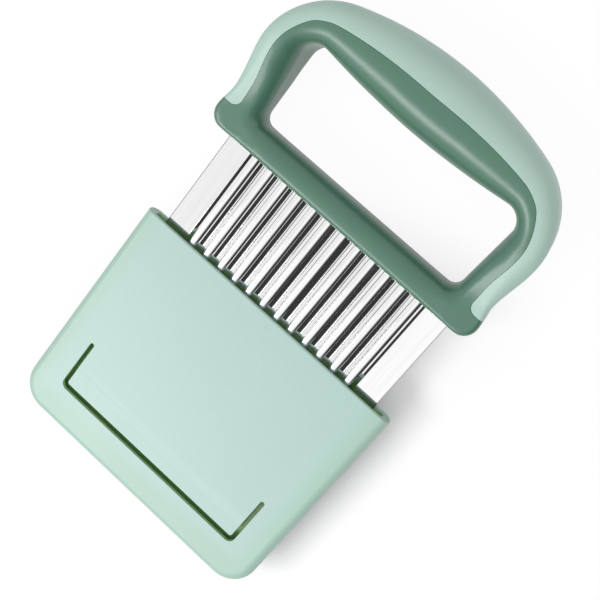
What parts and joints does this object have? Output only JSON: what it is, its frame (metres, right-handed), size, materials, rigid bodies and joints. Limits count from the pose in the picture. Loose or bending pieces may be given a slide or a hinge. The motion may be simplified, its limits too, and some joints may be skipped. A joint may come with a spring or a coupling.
{
  "type": "crinkle cutter",
  "caption": "Crinkle cutter: a loop handle with a soft grip cover, a corrugated steel blade set in its foot, and a slide-on blade guard with a spring tongue.",
  "frame": {"origin": "under the middle of the whole length and width, on the surface that the cutter's back lies on", "axes": "+X across the blade, +Y from the guarded cutting edge to the handle's crown, +Z from the back to the front"},
  "size_m": [0.1074, 0.1818, 0.025],
  "materials": {
    "handle_plastic": "satin",
    "grip_rubber": "matte",
    "blade_steel": "polished stainless steel",
    "guard_plastic": "satin",
    "tongue_plastic": "satin"
  },
  "bodies": {
    "knife": {"handle_frame": "handle_plastic", "grip_cover": "grip_rubber", "crinkle_blade": "blade_steel"},
    "guard": {"guard_shell": "guard_plastic"},
    "tongue": {"guard_tongue": "tongue_plastic"}
  },
  "joints": [
    {"name": "guard_slide", "type": "slide", "parent": "knife", "child": "guard", "axis": [0, 1, 0], "range_m": [-0.045, 0.0369]},
    {"name": "tongue_flex", "type": "hinge", "parent": "guard", "child": "tongue", "pos_m": [0, -0.05795, 0.0158], "axis": [-1, 0, 0], "range_deg": [0, 3], "stiffness_Nm_per_rad": 0.05}
  ]
}
